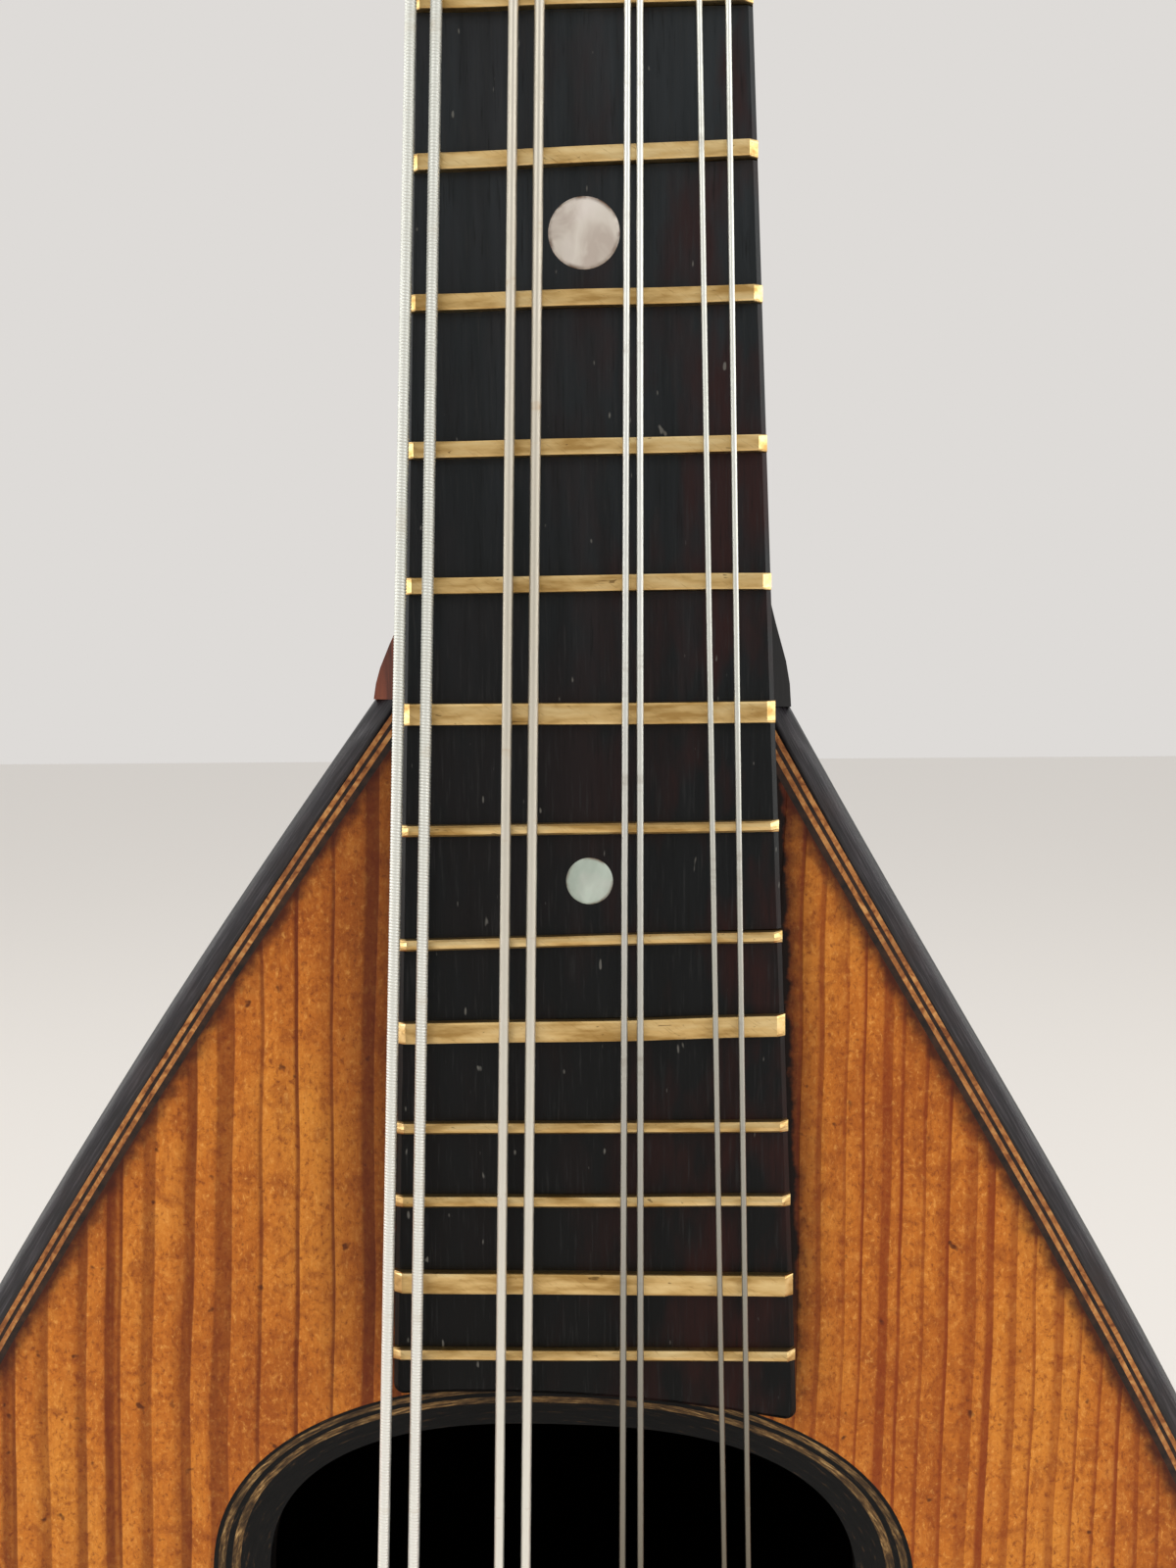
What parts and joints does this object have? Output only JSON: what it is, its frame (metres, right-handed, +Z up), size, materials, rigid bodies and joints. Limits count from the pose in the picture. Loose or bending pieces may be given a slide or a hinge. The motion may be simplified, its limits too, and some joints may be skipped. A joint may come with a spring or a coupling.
{
  "type": "mandolin",
  "caption": "Bowl-back mandolin with a ribbed bowl, flat soundboard with an oval hole, fretted neck, paired strings over a loose bridge, and geared tuners on an angled head.",
  "frame": {"origin": "where a wall hanger's yoke carries the head: on the neck's centre line, under the head's shoulders, in the middle of the head's thickness", "axes": "+Z up the neck to the head, -Y out of the soundboard towards the player's hand, +X to the treble side"},
  "size_m": [0.194, 0.1543, 0.6016],
  "materials": {
    "varnished_spruce": "gloss varnish",
    "dark_edge_wood": "satin, waxed",
    "light_inlay_wood": "varnished",
    "black_inlay_wood": "varnished",
    "rib_wood": "gloss varnish",
    "inner_wood": "bare",
    "neck_wood": "gloss varnish",
    "fretboard_wood": "oiled, worn",
    "ebony": "polished",
    "tortoiseshell_plate": "polished",
    "bone": "polished bone",
    "pearl": "polished shell",
    "fret_brass": "worn, scratched",
    "tuner_brass": "aged satin",
    "nickel_plate": "dull nickel",
    "steel": "turned",
    "string_wire": "wound and plain wire"
  },
  "bodies": {
    "instrument": {"soundboard": "varnished_spruce", "edge_binding": "dark_edge_wood", "purfling_light": "light_inlay_wood", "purfling_dark": "black_inlay_wood", "rosette_light": "light_inlay_wood", "rosette_dark": "black_inlay_wood", "bowl_ribs": "rib_wood", "end_clasp": "dark_edge_wood", "end_blocks": "inner_wood", "braces": "inner_wood", "linings": "inner_wood", "pickguard": "tortoiseshell_plate", "bridge": "ebony", "saddle": "bone", "tailpiece": "nickel_plate", "fixing_screws": "steel", "neck": "neck_wood", "fretboard": "fretboard_wood", "frets": "fret_brass", "position_dots": "pearl", "nut": "bone", "headstock_veneer": "dark_edge_wood", "post_bushes": "nickel_plate", "tuner_plates": "tuner_brass", "strings_g": "string_wire", "strings_d": "string_wire", "strings_a": "string_wire", "strings_e": "string_wire"},
    "tuner_shaft_g1": {"button_g1": "bone", "worm_shaft_g1": "steel"},
    "post_g1": {"string_post_g1": "steel", "worm_wheel_g1": "tuner_brass"},
    "tuner_shaft_g2": {"button_g2": "bone", "worm_shaft_g2": "steel"},
    "post_g2": {"string_post_g2": "steel", "worm_wheel_g2": "tuner_brass"},
    "tuner_shaft_d1": {"button_d1": "bone", "worm_shaft_d1": "steel"},
    "post_d1": {"string_post_d1": "steel", "worm_wheel_d1": "tuner_brass"},
    "tuner_shaft_d2": {"button_d2": "bone", "worm_shaft_d2": "steel"},
    "post_d2": {"string_post_d2": "steel", "worm_wheel_d2": "tuner_brass"},
    "tuner_shaft_a1": {"button_a1": "bone", "worm_shaft_a1": "steel"},
    "post_a1": {"string_post_a1": "steel", "worm_wheel_a1": "tuner_brass"},
    "tuner_shaft_a2": {"button_a2": "bone", "worm_shaft_a2": "steel"},
    "post_a2": {"string_post_a2": "steel", "worm_wheel_a2": "tuner_brass"},
    "tuner_shaft_e1": {"button_e1": "bone", "worm_shaft_e1": "steel"},
    "post_e1": {"string_post_e1": "steel", "worm_wheel_e1": "tuner_brass"},
    "tuner_shaft_e2": {"button_e2": "bone", "worm_shaft_e2": "steel"},
    "post_e2": {"string_post_e2": "steel", "worm_wheel_e2": "tuner_brass"}
  },
  "joints": [
    {"name": "tuner_turn_g1", "type": "hinge", "parent": "instrument", "child": "tuner_shaft_g1", "pos_m": [-0.0155, 0.0149, 0.02162], "axis": [1, 0, 0], "continuous": true},
    {"name": "post_turn_g1", "type": "hinge", "parent": "instrument", "child": "post_g1", "pos_m": [-0.0155, 0.01591, 0.02885], "axis": [0, -0.9903, 0.1392], "continuous": true},
    {"name": "tuner_turn_g2", "type": "hinge", "parent": "instrument", "child": "tuner_shaft_g2", "pos_m": [-0.0155, 0.01817, 0.04489], "axis": [1, 0, 0], "continuous": true},
    {"name": "post_turn_g2", "type": "hinge", "parent": "instrument", "child": "post_g2", "pos_m": [-0.0155, 0.01919, 0.05212], "axis": [0, -0.9903, 0.1392], "continuous": true},
    {"name": "tuner_turn_d1", "type": "hinge", "parent": "instrument", "child": "tuner_shaft_d1", "pos_m": [-0.0155, 0.02144, 0.06817], "axis": [1, 0, 0], "continuous": true},
    {"name": "post_turn_d1", "type": "hinge", "parent": "instrument", "child": "post_d1", "pos_m": [-0.0155, 0.02246, 0.0754], "axis": [0, -0.9903, 0.1392], "continuous": true},
    {"name": "tuner_turn_d2", "type": "hinge", "parent": "instrument", "child": "tuner_shaft_d2", "pos_m": [-0.0155, 0.02471, 0.09144], "axis": [1, 0, 0], "continuous": true},
    {"name": "post_turn_d2", "type": "hinge", "parent": "instrument", "child": "post_d2", "pos_m": [-0.0155, 0.02573, 0.09867], "axis": [0, -0.9903, 0.1392], "continuous": true},
    {"name": "tuner_turn_a1", "type": "hinge", "parent": "instrument", "child": "tuner_shaft_a1", "pos_m": [0.0155, 0.02471, 0.09144], "axis": [1, 0, 0], "continuous": true},
    {"name": "post_turn_a1", "type": "hinge", "parent": "instrument", "child": "post_a1", "pos_m": [0.0155, 0.02573, 0.09867], "axis": [0, -0.9903, 0.1392], "continuous": true},
    {"name": "tuner_turn_a2", "type": "hinge", "parent": "instrument", "child": "tuner_shaft_a2", "pos_m": [0.0155, 0.02144, 0.06817], "axis": [1, 0, 0], "continuous": true},
    {"name": "post_turn_a2", "type": "hinge", "parent": "instrument", "child": "post_a2", "pos_m": [0.0155, 0.02246, 0.0754], "axis": [0, -0.9903, 0.1392], "continuous": true},
    {"name": "tuner_turn_e1", "type": "hinge", "parent": "instrument", "child": "tuner_shaft_e1", "pos_m": [0.0155, 0.01817, 0.04489], "axis": [1, 0, 0], "continuous": true},
    {"name": "post_turn_e1", "type": "hinge", "parent": "instrument", "child": "post_e1", "pos_m": [0.0155, 0.01919, 0.05212], "axis": [0, -0.9903, 0.1392], "continuous": true},
    {"name": "tuner_turn_e2", "type": "hinge", "parent": "instrument", "child": "tuner_shaft_e2", "pos_m": [0.0155, 0.0149, 0.02162], "axis": [1, 0, 0], "continuous": true},
    {"name": "post_turn_e2", "type": "hinge", "parent": "instrument", "child": "post_e2", "pos_m": [0.0155, 0.01591, 0.02885], "axis": [0, -0.9903, 0.1392], "continuous": true}
  ],
  "couplings": [
    {"joint": "post_turn_g1", "follows": "tuner_turn_g1", "ratio": 0.071429},
    {"joint": "post_turn_g2", "follows": "tuner_turn_g2", "ratio": 0.071429},
    {"joint": "post_turn_d1", "follows": "tuner_turn_d1", "ratio": 0.071429},
    {"joint": "post_turn_d2", "follows": "tuner_turn_d2", "ratio": 0.071429},
    {"joint": "post_turn_a1", "follows": "tuner_turn_a1", "ratio": -0.071429},
    {"joint": "post_turn_a2", "follows": "tuner_turn_a2", "ratio": -0.071429},
    {"joint": "post_turn_e1", "follows": "tuner_turn_e1", "ratio": -0.071429},
    {"joint": "post_turn_e2", "follows": "tuner_turn_e2", "ratio": -0.071429}
  ]
}
